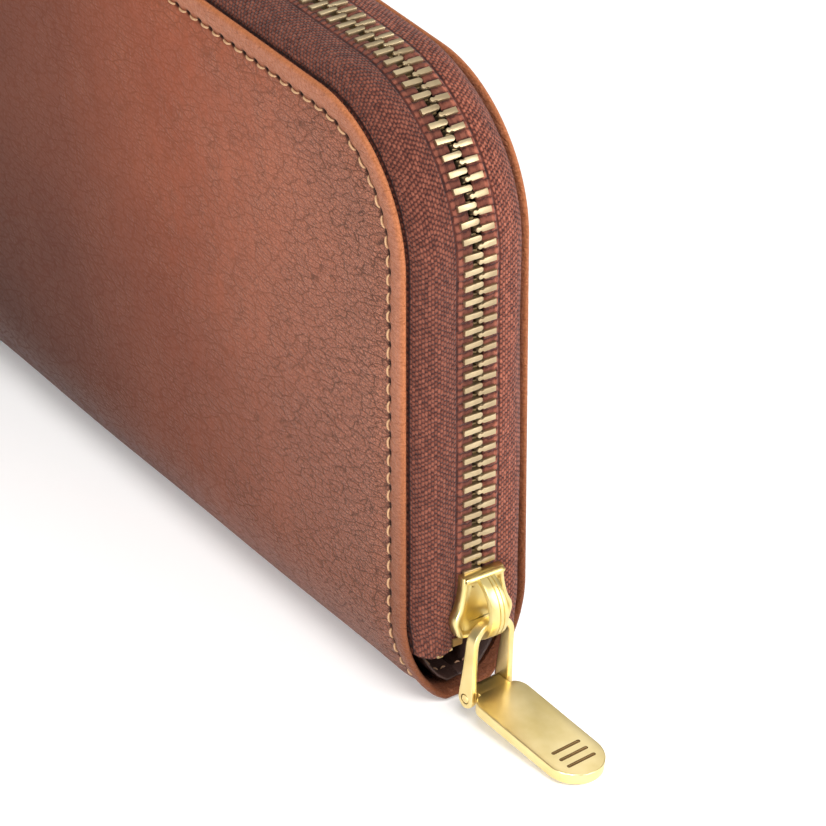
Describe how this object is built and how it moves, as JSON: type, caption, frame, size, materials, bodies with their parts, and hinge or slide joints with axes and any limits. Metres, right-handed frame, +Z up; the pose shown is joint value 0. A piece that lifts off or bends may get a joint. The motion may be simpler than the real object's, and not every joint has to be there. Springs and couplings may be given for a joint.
{
  "type": "zip-around wallet",
  "caption": "Long zip-around leather wallet standing on its spine, with a brass zip, a hinged pull tab, card pockets and a zipped coin pocket.",
  "frame": {"origin": "centre of the flat under the spine, on the table", "axes": "+X along the wallet to the end where the zip closes, +Y from the front cover to the back cover, +Z up"},
  "size_m": [0.2312, 0.0244, 0.1061],
  "materials": {
    "cover_leather": "satin, grained",
    "lining_leather": "smooth, satin",
    "board": "bonded leather board, matt",
    "zip_tape": "woven herringbone",
    "coin_tape": "woven",
    "gusset_fabric": "woven lining",
    "thread": "waxed thread",
    "teeth_brass": "antique brass",
    "coin_brass": "antique brass",
    "slider_brass": "brushed and polished brass"
  },
  "bodies": {
    "spine": {"spine_leather": "cover_leather", "spine_lining": "lining_leather", "coin_pocket_front": "lining_leather", "coin_pocket_back": "lining_leather", "coin_pocket_gusset": "lining_leather", "coin_zip_tape_front": "coin_tape", "coin_zip_tape_back": "coin_tape", "coin_zip_teeth_front": "coin_brass", "coin_zip_teeth_back": "coin_brass", "coin_zip_stops": "coin_brass", "front_left_gusset": "gusset_fabric", "front_right_gusset": "gusset_fabric", "back_left_gusset": "gusset_fabric", "back_right_gusset": "gusset_fabric"},
    "front_half": {"front_cover": "cover_leather", "front_stiffener": "board", "front_lining": "lining_leather", "front_slip_pocket": "lining_leather", "front_card_pocket_1": "lining_leather", "front_card_pocket_2": "lining_leather", "front_card_pocket_3": "lining_leather", "front_card_pocket_4": "lining_leather", "front_zip_tape": "zip_tape", "front_zip_teeth": "teeth_brass", "front_top_stop": "teeth_brass", "front_stitching": "thread"},
    "back_half": {"back_cover": "cover_leather", "back_stiffener": "board", "back_lining": "lining_leather", "back_slip_pocket": "lining_leather", "back_card_pocket_1": "lining_leather", "back_card_pocket_2": "lining_leather", "back_card_pocket_3": "lining_leather", "back_card_pocket_4": "lining_leather", "back_zip_tape": "zip_tape", "back_zip_teeth": "teeth_brass", "back_top_stop": "teeth_brass", "back_stitching": "thread", "zip_bottom_stop": "teeth_brass"},
    "slider": {"slider_body": "slider_brass", "slider_crown": "slider_brass"},
    "pull_link": {"pull_link": "slider_brass", "pull_pin": "slider_brass"},
    "pull_tab": {"pull_tab": "slider_brass"},
    "coin_slider": {"coin_slider": "coin_brass"},
    "coin_pull": {"coin_pull": "coin_brass"}
  },
  "joints": [
    {"name": "front_open", "type": "hinge", "parent": "spine", "child": "front_half", "pos_m": [0, -0.006, 0.0019], "axis": [1, 0, 0], "range_deg": [0, 35], "deforming": ["front_left_gusset", "front_right_gusset"]},
    {"name": "back_open", "type": "hinge", "parent": "spine", "child": "back_half", "pos_m": [0, 0.006, 0.0019], "axis": [-1, 0, 0], "range_deg": [0, 35], "deforming": ["back_left_gusset", "back_right_gusset"]},
    {"name": "slider_run", "type": "slide", "parent": "back_half", "child": "slider", "axis": [0, 0, 1], "range_m": [0, 0.053], "deforming": ["front_zip_teeth", "back_zip_teeth"]},
    {"name": "link_swing", "type": "hinge", "parent": "slider", "child": "pull_link", "pos_m": [0.10525, 0, 0.0178], "axis": [0.1219, -0.9925, 0], "range_deg": [0, 110]},
    {"name": "tab_swing", "type": "hinge", "parent": "pull_link", "child": "pull_tab", "pos_m": [0.10385, -0.00017, 0.00437], "axis": [0.1219, -0.9925, 0], "range_deg": [-80, 20]},
    {"name": "coin_slider_run", "type": "slide", "parent": "spine", "child": "coin_slider", "axis": [-1, 0, 0], "range_m": [0, 0.134], "deforming": ["coin_zip_teeth_front", "coin_zip_teeth_back"]},
    {"name": "coin_pull_swing", "type": "hinge", "parent": "coin_slider", "child": "coin_pull", "pos_m": [0.067, 0, 0.0922], "axis": [0, 1, 0], "range_deg": [0, 165]}
  ]
}
